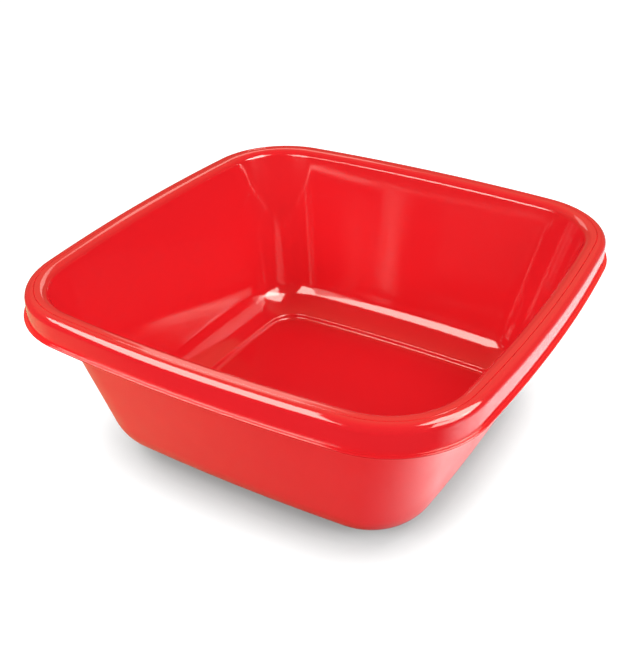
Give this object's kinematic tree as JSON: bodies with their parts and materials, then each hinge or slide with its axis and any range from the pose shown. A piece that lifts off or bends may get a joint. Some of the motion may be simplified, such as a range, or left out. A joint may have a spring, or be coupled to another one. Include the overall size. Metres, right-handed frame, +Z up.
{
  "type": "washing up bowl",
  "caption": "Square plastic washing up bowl with bowed sides, a rolled rim to lift it by and a sunken floor panel that it stands on.",
  "frame": {"origin": "middle of the foot, on the surface that the bowl stands on", "axes": "+Z up through the mouth, +X to the right side, -Y to the front; the bowl is the same on all four sides"},
  "size_m": [0.32, 0.32, 0.127],
  "materials": {
    "bowl_plastic": "glossy red moulding, satin on the outside of the walls"
  },
  "bodies": {
    "root": {"bowl": "bowl_plastic"}
  },
  "joints": []
}
